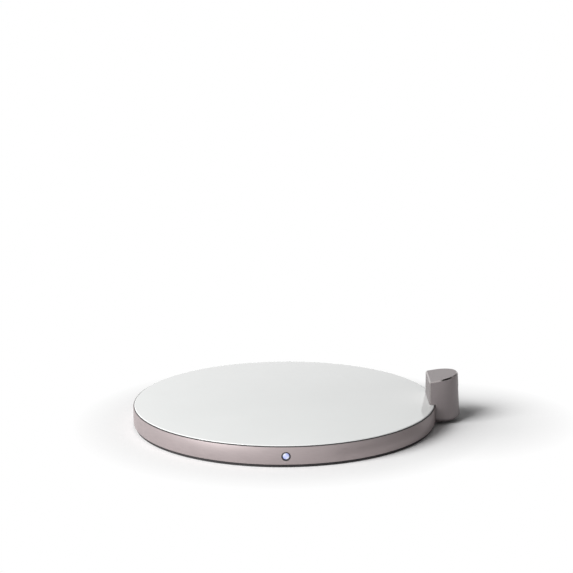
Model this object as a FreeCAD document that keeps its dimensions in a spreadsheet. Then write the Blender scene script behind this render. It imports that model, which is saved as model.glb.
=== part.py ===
import FreeCAD, Part
import math
import os
import Sketcher

# Electric mug warmer: a thin glass-topped disc in a metal rim ring, with a lit
# push button at the front and a D-shaped post at the right that holds the
# power inlet. Millimetres. Origin: centre of the disc on the table, +Z up,
# the button faces -Y and the post stands at +X.

# Driving sizes: name, value, what it is
SIZES = (
    ("ring_radius", 50.0, "outer radius of the rim ring"),
    ("ring_foot_z", 1.0, "height of the ring's lower edge above the table"),
    ("ring_top_z", 6.5, "height of the ring's top edge"),
    ("ring_wall", 1.8, "thickness of the ring's wall below the ledge"),
    ("rim_land", 0.2, "width of the ring's lip at its top"),
    ("lip_taper", 0.8, "how much wider the ring's lip is at the ledge"),
    ("ledge_width", 2.0, "how far the glass ledge stands in from the wall"),
    ("ledge_thickness", 0.6, "thickness of the glass ledge"),
    ("lug_half", 3.4, "half the width of a screw lug under the ledge"),
    ("screw_inset", 3.2, "distance of the base screws from the ring's inner wall"),
    ("base_screw_count", 3, "number of base screws"),
    ("glass_top_z", 7.0, "height of the glass face above the table"),
    ("glass_thickness", 1.7, "thickness of the glass plate"),
    ("glass_bevel", 0.2, "bevel round the glass"),
    ("gasket_leg", 0.2, "thickness of the gasket under the glass"),
    ("gasket_side", 0.15, "thickness of the gasket beside the glass"),
    ("gasket_lip", 0.3, "how far the gasket stands above the ring"),
    ("spreader_thickness", 0.5, "thickness of the heat spreader"),
    ("spreader_gap", 0.3, "gap round the heat spreader"),
    ("heater_inset", 0.3, "how far the heater film ends inside the insulation"),
    ("heater_thickness", 0.2, "thickness of the heater film"),
    ("heater_tab_reach", 2.5, "how far the film's solder tab stands out"),
    ("heater_tab_width", 5.0, "width of the film's solder tab"),
    ("heater_tab_x", -10.0, "place of the solder tab across the board"),
    ("insulation_gap", 0.3, "gap between the insulation and the screw lugs"),
    ("insulation_thickness", 0.6, "thickness of the insulation pad"),
    ("sensor_window", 3.0, "half the width of the windows for sensor and fuse"),
    ("fuse_offset", 11.0, "distance of the fuse from the centre"),
    ("base_thickness", 1.1, "thickness of the base plate"),
    ("base_gap", 0.1, "gap between base plate and ring"),
    ("rib_start", 14.0, "distance of a support rib from the disc's axis"),
    ("rib_board_gap", 4.0, "gap between a support rib and the main board"),
    ("rib_thickness", 1.2, "thickness of a support rib"),
    ("rib_count", 6, "number of support ribs"),
    ("pad_inset", 1.0, "how far the foot pad ends inside the ring's outer face"),
    ("head_radius", 1.7, "head radius of a base screw"),
    ("head_height", 0.6, "head height of a base screw"),
    ("screw_radius", 1.0, "thread radius of a base screw"),
    ("boss_height", 0.6, "height of the base plate's screw bosses"),
    ("boss_half", 2.4, "half the width of the base plate's screw bosses"),
    ("fit_gap", 0.1, "clearance round screws and in small fits"),
    ("board_gap", 1.2, "gap between the main board and the ring's wall"),
    ("board_width", 12.5, "width of the main board's band"),
    ("board_half", 26.0, "half the length of the main board"),
    ("board_thickness", 0.8, "thickness of the main board"),
    ("stake_height", 0.2, "height of the seats that carry the board"),
    ("stake_half", 0.8, "half the width of a square heat stake"),
    ("stake_head", 1.5, "half the width of a stake's seat and flattened head"),
    ("stake_x", 20.0, "place of the heat stakes along the board"),
    ("stake_inset", 10.0, "distance of the heat stakes behind the board's front"),
    ("button_z", 3.6, "height of the button's axis above the table"),
    ("cap_radius", 1.1, "radius of the lit button cap"),
    ("cap_length", 1.25, "length of the cap's round front part"),
    ("stem_radius", 0.8, "radius of the cap's stem behind the round part"),
    ("cap_sink", 0.15, "how far the cap's face lies inside the ring face"),
    ("cap_bevel", 0.2, "bevel round the cap's face"),
    ("cap_gap", 0.08, "running gap round the button cap"),
    ("bezel_radius", 1.45, "outer radius of the dark bezel sleeve"),
    ("ear_half", 1.8, "half the width of the cap's retaining ears"),
    ("ear_height", 1.4, "height of the cap's retaining ears"),
    ("ear_thickness", 0.5, "thickness of the cap's retaining ears"),
    ("ear_gap", 0.1, "gap between the ears and the ring wall"),
    ("button_travel", 0.35, "travel of the button"),
    ("plunger_half", 0.5, "half the width of the switch plunger"),
    ("plunger_height", 0.7, "height of the switch plunger"),
    ("plunger_entry", 0.5, "length of plunger inside the switch at rest"),
    ("switch_half", 1.6, "half the width of the switch body"),
    ("switch_depth", 2.3, "depth of the switch body"),
    ("switch_height", 1.1, "height of the switch body"),
    ("switch_setback", 0.8, "distance of the switch body from the board edge"),
    ("led_length", 1.6, "length of the indicator lamp"),
    ("led_depth", 0.6, "depth of the indicator lamp"),
    ("led_height", 0.6, "height of the indicator lamp"),
    ("chip_height", 0.7, "height of the chips on the board"),
    ("chip_length", 1.6, "length of the temperature sensor"),
    ("chip_width", 0.8, "width of the temperature sensor"),
    ("fuse_length", 3.2, "length of the thermal fuse"),
    ("fuse_width", 1.6, "width of the thermal fuse"),
    ("connector_width", 3.0, "width of the sensor cable's connector"),
    ("connector_depth", 1.6, "depth of the sensor cable's connector"),
    ("ribbon_width", 2.0, "width of the sensor's flat cable"),
    ("ribbon_thickness", 0.25, "thickness of the sensor's flat cable"),
    ("leg_width", 1.2, "width of a heater lead"),
    ("leg_thickness", 0.4, "thickness of a heater lead"),
    ("leg_setback", 0.3, "distance of a heater lead from the end of the tab"),
    ("control_side", 4.0, "side of the control chip"),
    ("control_x", 6.0, "place of the control chip along the board"),
    ("supply_side", 3.0, "side of the supply chip"),
    ("supply_x", 14.0, "place of the supply chip along the board"),
    ("supply_back", 2.0, "how far the supply chip lies behind the control chip"),
    ("driver_side", 3.3, "side of the heater driver transistor"),
    ("driver_x", 18.0, "place of the heater driver along the board"),
    ("driver_back", 6.0, "how far the heater driver lies behind the control chip"),
    ("capacitor_length", 1.6, "length of a capacitor"),
    ("capacitor_width", 0.8, "width of a capacitor"),
    ("capacitor_pitch", 2.2, "distance from one capacitor to the next"),
    ("capacitor_x", 2.0, "place where the row of capacitors starts"),
    ("capacitor_back", 3.0, "how far the capacitors lie behind the control chip"),
    ("capacitor_count", 4, "number of capacitors"),
    ("post_reach", 8.25, "how far the post would stand out past the ring at the table"),
    ("post_depth", 10.83, "depth of the post at the table from its flat face to its nose"),
    ("post_radius", 8.16, "radius of the post's round nose at the table"),
    ("post_lean_angle", 3.15, "angle by which the post's sides lean in towards its top"),
    ("post_inner_z", 14.65, "height of the post's top at its flat face"),
    ("post_outer_z", 16.5, "height of the post's sloping top above the foot of its nose"),
    ("post_wall", 2.3, "thickness of the post's wall at the table"),
    ("post_seat_wall", 0.9, "thickness of the post's wall against the ring"),
    ("post_foot_bevel", 1.0, "bevel round the post's lower edge"),
    ("post_chamfer", 0.4, "polished chamfer round the post's top and flat face"),
    ("post_gap", 0.1, "gap between the post and the disc under it"),
    ("cover_thickness", 1.0, "thickness of the post's bottom cover"),
    ("post_screw_y", 4.3, "sideways place of the screws from ring to post"),
    ("post_screw_z", 3.3, "height of the screws from ring to post"),
    ("post_screw_radius", 0.7, "thread radius of the screws from ring to post"),
    ("post_screw_head", 1.1, "head radius of the screws from ring to post"),
    ("post_screw_length", 3.3, "thread length of the screws from ring to post"),
    ("post_head_height", 0.8, "head height of the screws from ring to post"),
    ("post_boss", 1.2, "radius of the bosses for the screws from the ring"),
    ("cover_head_height", 0.5, "head height of the cover screws"),
    ("cover_screw_length", 3.0, "thread length of the cover screws"),
    ("cover_screw_radius", 0.55, "thread radius of the cover screws"),
    ("cover_screw_head", 0.9, "head radius of the cover screws"),
    ("cover_boss", 1.05, "half the width of the bosses for the cover screws"),
    ("cover_screw_front", 2.9, "distance of the cover screws behind the cavity's nose"),
    ("cover_screw_side", 2.3, "distance of the cover screws from the cavity's flank"),
    ("cover_boss_height", 3.9, "height of the bosses for the cover screws"),
    ("lead_window_half", 1.3, "half the width of the window for the leads"),
    ("lead_window_low", 2.7, "height of the window's lower edge"),
    ("lead_window_high", 4.2, "height of the window's upper edge"),
    ("lead_width", 0.7, "width and height of a flat power lead"),
    ("lead_pitch", 0.9, "distance between the two power leads"),
    ("lead_bend", 7.0, "distance of the leads' first bend from the glass ledge"),
    ("lead_turn_x", 4.2, "distance of the leads' second bend beyond the board's end"),
    ("lead_turn_y", 7.5, "distance of the leads' second bend behind their end"),
    ("lead_landing", 4.0, "length of the leads on the main board"),
    ("lead_end", 1.9, "distance of the leads' end behind the board's inner arc"),
    ("inlet_width", 8.94, "tall size of the inlet socket"),
    ("inlet_height", 3.26, "narrow size of the inlet socket"),
    ("inlet_length", 6.2, "length of the inlet socket"),
    ("inlet_floor", 1.0, "thickness of the inlet socket's closed end"),
    ("inlet_wall", 0.3, "sheet thickness of the inlet socket"),
    ("inlet_z", 7.8, "height of the inlet's centre above the table"),
    ("inlet_sink", 1.05, "how far the inlet lies behind the foot of the post's nose"),
    ("inlet_gap", 0.1, "gap round the inlet socket"),
    ("tongue_width", 6.2, "tall size of the inlet's tongue"),
    ("tongue_thickness", 0.7, "thickness of the inlet's tongue"),
    ("tongue_sink", 0.9, "how far the tongue lies inside the socket"),
    ("inlet_board_thickness", 0.8, "thickness of the inlet board"),
    ("inlet_board_length", 4.1, "length of the inlet board"),
    ("inlet_board_rise", 4.4, "height of the inlet board over the inlet's centre"),
    ("over_cut", 1.0, "how far a cutting outline runs past what it cuts"),
)


class Size:
    """A length that keeps its number together with its spreadsheet formula."""

    def __init__(self, value, text):
        self.value = float(value)
        self.text = text

    def __add__(self, other):
        other = size_of(other)
        return Size(self.value + other.value, "(%s + %s)" % (self.text, other.text))

    def __radd__(self, other):
        return size_of(other) + self

    def __sub__(self, other):
        other = size_of(other)
        return Size(self.value - other.value, "(%s - %s)" % (self.text, other.text))

    def __rsub__(self, other):
        return size_of(other) - self

    def __mul__(self, other):
        other = size_of(other)
        return Size(self.value * other.value, "(%s * %s)" % (self.text, other.text))

    def __rmul__(self, other):
        return size_of(other) * self

    def __truediv__(self, other):
        other = size_of(other)
        return Size(self.value / other.value, "(%s / %s)" % (self.text, other.text))

    def __neg__(self):
        return Size(-self.value, "(0 - %s)" % self.text)


def size_of(number):
    """Wrap a plain number, so that it can stand in a formula."""
    if isinstance(number, Size):
        return number
    return Size(number, repr(float(number)))


class Sheet:
    """The spreadsheet of driving sizes, one attribute for each name."""

    def __init__(self, document, table):
        page = document.addObject("Spreadsheet::Sheet", "Sizes")
        for row, (name, value, note) in enumerate(table, start=1):
            page.set("A%d" % row, name)
            page.set("B%d" % row, repr(value))
            page.set("C%d" % row, note)
            page.setAlias("B%d" % row, name)
            setattr(self, name, Size(value, "Sizes.%s" % name))


doc = FreeCAD.newDocument("mug_warmer")
s = Sheet(doc, SIZES)
doc.recompute()

# Heights and radii that several pieces share
ring_inner = s.ring_radius - s.ring_wall
rim_inner = s.ring_radius - s.rim_land
ledge_inner = ring_inner - s.ledge_width
glass_radius = rim_inner - s.gasket_side
glass_low = s.glass_top_z - s.glass_thickness
ledge_top = glass_low - s.gasket_leg
lip_slope = s.lip_taper / (s.ring_top_z - ledge_top)
lip_inner = rim_inner - s.lip_taper
glass_low_radius = glass_radius - lip_slope * (s.ring_top_z - glass_low)
gasket_top = s.ring_top_z + s.gasket_lip
ledge_low = ledge_top - s.ledge_thickness
spreader_low = glass_low - s.spreader_thickness
heater_low = spreader_low - s.heater_thickness
insulation_low = heater_low - s.insulation_thickness
base_top = s.ring_foot_z + s.base_thickness
boss_top = base_top + s.boss_height
base_radius = ring_inner - s.base_gap
board_low = base_top + s.stake_height
board_top = board_low + s.board_thickness
screw_circle = ring_inner - s.screw_inset
insulation_radius = screw_circle - s.lug_half - s.insulation_gap
heater_radius = insulation_radius - s.heater_inset
board_outer = ring_inner - s.board_gap
board_inner = board_outer - s.board_width
stake_y = -(board_outer - s.stake_inset)

# Places along the button's axis, from the front of the ring inwards
cap_face_y = -(s.ring_radius - s.cap_sink)
ear_front_y = -(ring_inner - s.ear_gap)
ear_back_y = ear_front_y + s.ear_thickness
switch_front_y = -(board_outer - s.switch_setback)

# Places along the post's axis
nose_x = s.ring_radius + s.post_reach
flat_x = nose_x - s.post_depth
nose_centre_x = nose_x - s.post_radius
seat_radius = s.ring_radius + s.post_gap / 2
post_floor_z = s.glass_top_z + s.post_gap
cavity_radius = s.post_radius - s.post_wall
cavity_seat = seat_radius + s.post_seat_wall
cavity_top_z = s.post_inner_z - s.post_wall
cover_screw_x = nose_centre_x + cavity_radius - s.cover_screw_front
cover_screw_y = cavity_radius - s.cover_screw_side
cover_top_z = s.ring_foot_z + s.cover_thickness
post_screw_head_x = ring_inner + s.fit_gap / 2 - s.post_head_height
post_screw_tip_x = ring_inner + s.fit_gap / 2 + s.post_screw_length
inlet_front_x = nose_x - s.inlet_sink
inlet_back_x = inlet_front_x - s.inlet_length

ORIGIN = FreeCAD.Vector(0, 0, 0)
UP = FreeCAD.Vector(0, 0, 1)


def new_body(label):
    """Start the body of one sub-part."""
    body = doc.addObject("PartDesign::Body", label)
    body.Label = label
    return body


def outline_plane(body, role):
    """One of the body's own origin planes."""
    return [item for item in body.Origin.OriginFeatures if item.Role == role][0]


def new_sketch(body, name, role, height=None):
    """Lay a sketch on one of the body's own origin planes."""
    sketch = body.newObject("Sketcher::SketchObject", name)
    sketch.AttachmentSupport = [(outline_plane(body, role), "")]
    sketch.MapMode = "FlatFace"
    if height is not None:
        sketch.setExpression("AttachmentOffset.Base.z", height.text)
    return sketch


def pin(sketch, geometry, vertex, x, y):
    """Hold one vertex of a sketch at the place that two sizes give."""
    for kind, size in (("DistanceX", size_of(x)), ("DistanceY", size_of(y))):
        rule = Sketcher.Constraint(kind, -1, 1, geometry, vertex, size.value)
        index = sketch.addConstraint(rule)
        sketch.setExpression("Constraints[%d]" % index, size.text)


def set_radius(sketch, geometry, radius):
    """Give a circle or arc of a sketch its radius."""
    rule = Sketcher.Constraint("Radius", geometry, radius.value)
    index = sketch.addConstraint(rule)
    sketch.setExpression("Constraints[%d]" % index, radius.text)


def join(sketch, first, second):
    """Make the end of one edge the start of the next."""
    sketch.addConstraint(Sketcher.Constraint("Coincident", first, 2, second, 1))


def vector(x, y):
    """A sketch point from two sizes."""
    return FreeCAD.Vector(size_of(x).value, size_of(y).value, 0)


def draw_polygon(sketch, corners):
    """Draw a closed outline of straight edges through sized corners."""
    first = sketch.GeometryCount
    count = len(corners)
    for index, corner in enumerate(corners):
        following = corners[(index + 1) % count]
        sketch.addGeometry(Part.LineSegment(vector(*corner), vector(*following)), False)
    for index, corner in enumerate(corners):
        join(sketch, first + (index - 1) % count, first + index)
        pin(sketch, first + index, 1, *corner)


def draw_rectangle(sketch, left, low, right, high):
    """Draw an upright rectangle."""
    draw_polygon(sketch, ((left, low), (right, low), (right, high), (left, high)))


def draw_square(sketch, x, y, half):
    """Draw a square about a sized place."""
    draw_rectangle(sketch, x - half, y - half, x + half, y + half)


def draw_circle(sketch, x, y, radius):
    """Draw a circle at a sized place."""
    index = sketch.addGeometry(Part.Circle(vector(x, y), UP, radius.value), False)
    pin(sketch, index, 3, x, y)
    set_radius(sketch, index, radius)


def draw_nose(sketch, flat, centre, radius):
    """Draw the post's outline: a flat side, two flanks and a round nose."""
    arc = Part.ArcOfCircle(Part.Circle(vector(centre, 0), UP, radius.value), -math.pi / 2, math.pi / 2)
    nose = sketch.addGeometry(arc, False)
    pin(sketch, nose, 3, centre, 0)
    set_radius(sketch, nose, radius)
    for vertex in (1, 2):
        rule = Sketcher.Constraint("DistanceX", -1, 1, nose, vertex, centre.value)
        index = sketch.addConstraint(rule)
        sketch.setExpression("Constraints[%d]" % index, centre.text)
    back = sketch.addGeometry(Part.LineSegment(vector(centre, radius), vector(flat, radius)), False)
    side = sketch.addGeometry(Part.LineSegment(vector(flat, radius), vector(flat, -radius)), False)
    front = sketch.addGeometry(Part.LineSegment(vector(flat, -radius), vector(centre, -radius)), False)
    join(sketch, nose, back)
    join(sketch, back, side)
    join(sketch, side, front)
    join(sketch, front, nose)
    pin(sketch, side, 1, flat, radius)
    pin(sketch, front, 1, flat, -radius)


def draw_crescent(sketch, seat, centre, radius):
    """Draw the room between the ring's round side and the post's round nose."""
    reach = centre.value
    cross_x = (reach ** 2 + seat.value ** 2 - radius.value ** 2) / (2 * reach)
    cross_y = math.sqrt(seat.value ** 2 - cross_x ** 2)
    nose_angle = math.atan2(cross_y, cross_x - reach)
    seat_angle = math.atan2(cross_y, cross_x)
    nose_circle = Part.Circle(vector(centre, 0), UP, radius.value)
    seat_circle = Part.Circle(ORIGIN, UP, seat.value)
    nose = sketch.addGeometry(Part.ArcOfCircle(nose_circle, -nose_angle, nose_angle), False)
    inner = sketch.addGeometry(Part.ArcOfCircle(seat_circle, -seat_angle, seat_angle), False)
    pin(sketch, nose, 3, centre, 0)
    pin(sketch, inner, 3, 0, 0)
    set_radius(sketch, nose, radius)
    set_radius(sketch, inner, seat)
    for vertex in (1, 2):
        sketch.addConstraint(Sketcher.Constraint("Coincident", nose, vertex, inner, vertex))


def draw_slot(sketch, low, high, radius):
    """Draw an upright slot with round ends, centred on the post's axis."""
    top_centre = high - radius
    low_centre = low + radius
    top = sketch.addGeometry(Part.ArcOfCircle(
        Part.Circle(vector(0, top_centre), UP, radius.value), 0, math.pi), False)
    left = sketch.addGeometry(Part.LineSegment(
        vector(-radius, top_centre), vector(-radius, low_centre)), False)
    bottom = sketch.addGeometry(Part.ArcOfCircle(
        Part.Circle(vector(0, low_centre), UP, radius.value), math.pi, 2 * math.pi), False)
    right = sketch.addGeometry(Part.LineSegment(
        vector(radius, low_centre), vector(radius, top_centre)), False)
    join(sketch, top, left)
    join(sketch, left, bottom)
    join(sketch, bottom, right)
    join(sketch, right, top)
    pin(sketch, top, 3, 0, top_centre)
    pin(sketch, bottom, 3, 0, low_centre)
    set_radius(sketch, top, radius)
    set_radius(sketch, bottom, radius)
    for arc, centre in ((top, top_centre), (bottom, low_centre)):
        for vertex in (1, 2):
            rule = Sketcher.Constraint("DistanceY", -1, 1, arc, vertex, centre.value)
            index = sketch.addConstraint(rule)
            sketch.setExpression("Constraints[%d]" % index, centre.text)


def revolve(body, sketch, name):
    """Turn a profile about the disc's axis."""
    feature = body.newObject("PartDesign::Revolution", name)
    feature.Profile = sketch
    feature.ReferenceAxis = (sketch, ["V_Axis"])
    feature.Angle = 360
    return feature


def pad(body, sketch, name, length, reverse=False):
    """Raise a sketch into the body."""
    feature = body.newObject("PartDesign::Pad", name)
    feature.Profile = sketch
    feature.setExpression("Length", length.text)
    feature.Reversed = reverse
    return feature


def pocket(body, sketch, name, length, reverse=False):
    """Cut a sketch out of the body and make sure that it took something away."""
    doc.recompute()
    before = body.Shape.Volume
    feature = body.newObject("PartDesign::Pocket", name)
    feature.Profile = sketch
    feature.setExpression("Length", length.text)
    feature.Reversed = reverse
    doc.recompute()
    if not body.Shape.Volume < before:
        raise ValueError("%s cuts nothing from %s" % (name, body.Label))
    return feature


def ring_of(body, feature, sketch, name, count):
    """Repeat a feature evenly about the disc's axis."""
    doc.recompute()
    pattern = body.newObject("PartDesign::PolarPattern", name)
    pattern.Originals = [feature]
    pattern.Axis = (sketch, ["N_Axis"])
    pattern.Angle = 360
    pattern.setExpression("Occurrences", count.text)
    body.Tip = pattern
    doc.recompute()
    return pattern


def edges_where(feature, test):
    """Names of the edges of a feature that pass a test."""
    doc.recompute()
    names = []
    for index, edge in enumerate(feature.Shape.Edges, start=1):
        if test(edge):
            names.append("Edge%d" % index)
    return names


def bevel(body, name, feature, edges, size):
    """Chamfer edges of a body."""
    chamfer = body.newObject("PartDesign::Chamfer", name)
    chamfer.Base = (feature, edges)
    chamfer.setExpression("Size", size.text)
    return chamfer


def turned_disc(label, radius, low, high):
    """A plain round plate about the disc's axis."""
    body = new_body(label)
    sketch = new_sketch(body, label + "_outline", "XY_Plane", low)
    draw_circle(sketch, 0, 0, radius)
    pad(body, sketch, label + "_plate", high - low)
    return body


def small_box(label, x, y, z, length, width, height):
    """A block whose low corner and sides are sizes."""
    box = doc.addObject("Part::Box", label)
    box.Label = label
    sides = (("Length", length), ("Width", width), ("Height", height))
    for name, size in sides:
        box.setExpression(name, size_of(size).text)
    for name, size in (("x", x), ("y", y), ("z", z)):
        box.setExpression("Placement.Base." + name, size_of(size).text)
    return box


def group(label, members):
    """Keep equal loose pieces together under one name."""
    compound = doc.addObject("Part::Compound", label)
    compound.Label = label
    compound.Links = members
    return compound


def make_rim_ring():
    """Turned metal ring with a tapered lip, a glass ledge, screw lugs and openings."""
    body = new_body("rim_ring")
    profile = new_sketch(body, "ring_profile", "XZ_Plane")
    draw_polygon(profile, (
        (ring_inner, s.ring_foot_z),
        (s.ring_radius, s.ring_foot_z),
        (s.ring_radius, s.ring_top_z),
        (rim_inner, s.ring_top_z),
        (lip_inner, ledge_top),
        (ledge_inner, ledge_top),
        (ledge_inner, ledge_low),
        (ring_inner, ledge_low),
    ))
    revolve(body, profile, "ring_turned")
    lug_sketch = new_sketch(body, "lug_outline", "XY_Plane", boss_top)
    draw_rectangle(lug_sketch, -s.lug_half, screw_circle - s.lug_half,
                   s.lug_half, ring_inner + s.ring_wall / 4)
    lug = pad(body, lug_sketch, "lug", ledge_low - boss_top)
    ring_of(body, lug, lug_sketch, "lugs", s.base_screw_count)
    pilot_sketch = new_sketch(body, "pilot_outline", "XY_Plane", boss_top)
    draw_circle(pilot_sketch, 0, screw_circle, s.screw_radius)
    pilot = pocket(body, pilot_sketch, "pilot", ledge_low - boss_top, reverse=True)
    ring_of(body, pilot, pilot_sketch, "pilots", s.base_screw_count)
    hole = new_sketch(body, "button_hole_outline", "XZ_Plane", s.ring_radius)
    draw_circle(hole, 0, s.button_z, s.bezel_radius)
    pocket(body, hole, "button_hole", s.ring_wall + s.ear_gap)
    window = new_sketch(body, "window_outline", "YZ_Plane", s.ring_radius)
    draw_rectangle(window, -s.lead_window_half, s.lead_window_low,
                   s.lead_window_half, s.lead_window_high)
    pocket(body, window, "lead_window", s.ring_wall + s.fit_gap)
    holes = new_sketch(body, "post_hole_outline", "YZ_Plane", s.ring_radius)
    for side in (-1, 1):
        draw_circle(holes, side * s.post_screw_y, s.post_screw_z, s.post_screw_radius + s.fit_gap)
    pocket(body, holes, "post_holes", 2 * s.ring_wall)
    seats = new_sketch(body, "post_seat_outline", "YZ_Plane", ring_inner + s.fit_gap / 2)
    for side in (-1, 1):
        draw_circle(seats, side * s.post_screw_y, s.post_screw_z, s.post_screw_head + s.fit_gap)
    pocket(body, seats, "post_screw_seats", s.ledge_width)
    return body


def make_glass_top():
    """White glass plate with a bevelled edge."""
    body = new_body("glass_top")
    profile = new_sketch(body, "glass_profile", "XZ_Plane")
    draw_polygon(profile, (
        (0, glass_low),
        (glass_low_radius, glass_low),
        (glass_radius, s.ring_top_z),
        (glass_radius, s.glass_top_z - s.glass_bevel),
        (glass_radius - s.glass_bevel, s.glass_top_z),
        (0, s.glass_top_z),
    ))
    revolve(body, profile, "glass_turned")
    return body


def make_glass_gasket():
    """Soft gasket under and beside the glass."""
    body = new_body("glass_gasket")
    profile = new_sketch(body, "gasket_profile", "XZ_Plane")
    draw_polygon(profile, (
        (ledge_inner, ledge_top),
        (lip_inner, ledge_top),
        (rim_inner, s.ring_top_z),
        (rim_inner, gasket_top),
        (glass_radius, gasket_top),
        (glass_radius, s.ring_top_z),
        (glass_low_radius, glass_low),
        (ledge_inner, glass_low),
    ))
    revolve(body, profile, "gasket_turned")
    return body


def make_heater_film():
    """Thin film heater with a tab that reaches over the main board."""
    body = turned_disc("heater_film", heater_radius, heater_low, spreader_low)
    tab = new_sketch(body, "tab_outline", "XY_Plane", heater_low)
    middle = s.heater_tab_x
    half = s.heater_tab_width / 2
    draw_rectangle(tab, middle - half, -(heater_radius + s.heater_tab_reach),
                   middle + half, -(heater_radius - s.heater_tab_width))
    pad(body, tab, "solder_tab", s.heater_thickness)
    return body


def make_insulation_pad():
    """Insulating pad with windows for the temperature sensor and the fuse."""
    body = turned_disc("insulation_pad", insulation_radius, insulation_low, heater_low)
    windows = new_sketch(body, "window_outlines", "XY_Plane", insulation_low)
    draw_square(windows, size_of(0), size_of(0), s.sensor_window)
    draw_square(windows, size_of(0), s.fuse_offset, s.sensor_window)
    pocket(body, windows, "windows", s.insulation_thickness, reverse=True)
    return body


def make_base_plate():
    """Moulded base with screw bosses, support ribs and board stakes."""
    body = turned_disc("base_plate", base_radius, s.ring_foot_z, base_top)
    boss_sketch = new_sketch(body, "boss_outline", "XY_Plane", base_top)
    draw_square(boss_sketch, size_of(0), screw_circle, s.boss_half)
    boss = pad(body, boss_sketch, "boss", s.boss_height)
    ring_of(body, boss, boss_sketch, "bosses", s.base_screw_count)
    hole_sketch = new_sketch(body, "hole_outline", "XY_Plane", s.ring_foot_z)
    draw_circle(hole_sketch, 0, screw_circle, s.screw_radius + s.fit_gap)
    hole = pocket(body, hole_sketch, "screw_hole", boss_top - s.ring_foot_z, reverse=True)
    ring_of(body, hole, hole_sketch, "screw_holes", s.base_screw_count)
    bore_sketch = new_sketch(body, "bore_outline", "XY_Plane", s.ring_foot_z)
    draw_circle(bore_sketch, 0, screw_circle, s.head_radius + s.fit_gap)
    bore = pocket(body, bore_sketch, "head_bore", s.head_height, reverse=True)
    ring_of(body, bore, bore_sketch, "head_bores", s.base_screw_count)
    rib_sketch = new_sketch(body, "rib_outline", "XY_Plane", base_top)
    draw_rectangle(rib_sketch, s.rib_start, -s.rib_thickness / 2,
                   board_inner - s.rib_board_gap, s.rib_thickness / 2)
    rib = pad(body, rib_sketch, "rib", insulation_low - base_top)
    ring_of(body, rib, rib_sketch, "ribs", s.rib_count)
    seats = new_sketch(body, "stake_seat_outline", "XY_Plane", base_top)
    stakes = new_sketch(body, "stake_outline", "XY_Plane", board_low)
    heads = new_sketch(body, "stake_head_outline", "XY_Plane", board_top)
    for side in (-1, 1):
        draw_square(seats, side * s.stake_x, stake_y, s.stake_head)
        draw_square(stakes, side * s.stake_x, stake_y, s.stake_half)
        draw_square(heads, side * s.stake_x, stake_y, s.stake_head)
    pad(body, seats, "stake_seats", s.stake_height)
    pad(body, stakes, "stakes", s.board_thickness)
    pad(body, heads, "stake_heads", s.stake_height)
    return body


def make_foot_pad():
    """Soft foot pad over the whole underside."""
    return turned_disc("foot_pad", s.ring_radius - s.pad_inset, size_of(0), s.ring_foot_z)


def make_main_board():
    """Crescent-shaped main board behind the button."""
    body = new_body("main_board")
    outline = new_sketch(body, "board_outline", "XY_Plane", board_low)
    draw_board(outline)
    pad(body, outline, "board_plate", s.board_thickness)
    holes = new_sketch(body, "stake_holes_outline", "XY_Plane", board_low)
    for side in (-1, 1):
        draw_square(holes, side * s.stake_x, stake_y, s.stake_half + s.fit_gap)
    pocket(body, holes, "stake_holes", s.board_thickness, reverse=True)
    return body


def draw_board(sketch):
    """Draw a band between two arcs about the disc's axis, cut off square."""
    half = s.board_half
    arcs = []
    for radius in (board_outer, board_inner):
        angle = math.asin(half.value / radius.value)
        circle = Part.Circle(ORIGIN, UP, radius.value)
        arc = Part.ArcOfCircle(circle, -math.pi / 2 - angle, -math.pi / 2 + angle)
        index = sketch.addGeometry(arc, False)
        pin(sketch, index, 3, 0, 0)
        set_radius(sketch, index, radius)
        for vertex, end in ((1, -half), (2, half)):
            rule = Sketcher.Constraint("DistanceX", -1, 1, index, vertex, end.value)
            place = sketch.addConstraint(rule)
            sketch.setExpression("Constraints[%d]" % place, end.text)
        arcs.append(index)
    for vertex, end in ((1, -half.value), (2, half.value)):
        outer_y = -math.sqrt(board_outer.value ** 2 - end ** 2)
        inner_y = -math.sqrt(board_inner.value ** 2 - end ** 2)
        line = Part.LineSegment(vector(end, outer_y), vector(end, inner_y))
        index = sketch.addGeometry(line, False)
        sketch.addConstraint(Sketcher.Constraint("Coincident", arcs[0], vertex, index, 1))
        sketch.addConstraint(Sketcher.Constraint("Coincident", arcs[1], vertex, index, 2))


def make_base_screws():
    """Flat-headed screws that hold the base plate to the ring's lugs."""
    body = new_body("base_screws")
    heads = new_sketch(body, "head_outline", "XY_Plane", s.ring_foot_z)
    shanks = new_sketch(body, "shank_outline", "XY_Plane", s.ring_foot_z)
    shank_length = ledge_low - s.ring_foot_z
    draw_circle(heads, 0, screw_circle, s.head_radius)
    draw_circle(shanks, 0, screw_circle, s.screw_radius)
    pad(body, heads, "screw_head", s.head_height)
    pad(body, shanks, "screw_shank", shank_length)
    doc.recompute()
    screws = []
    count = int(s.base_screw_count.value)
    for index in range(count):
        link = doc.addObject("Part::Feature", "base_screw_%d" % (index + 1))
        link.Shape = body.Shape.copy()
        turn = FreeCAD.Rotation(UP, 360.0 * index / count)
        link.Placement = FreeCAD.Placement(ORIGIN, turn)
        screws.append(link)
    body.Label = "base_screw_pattern"
    return group("base_screws", screws)


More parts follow.
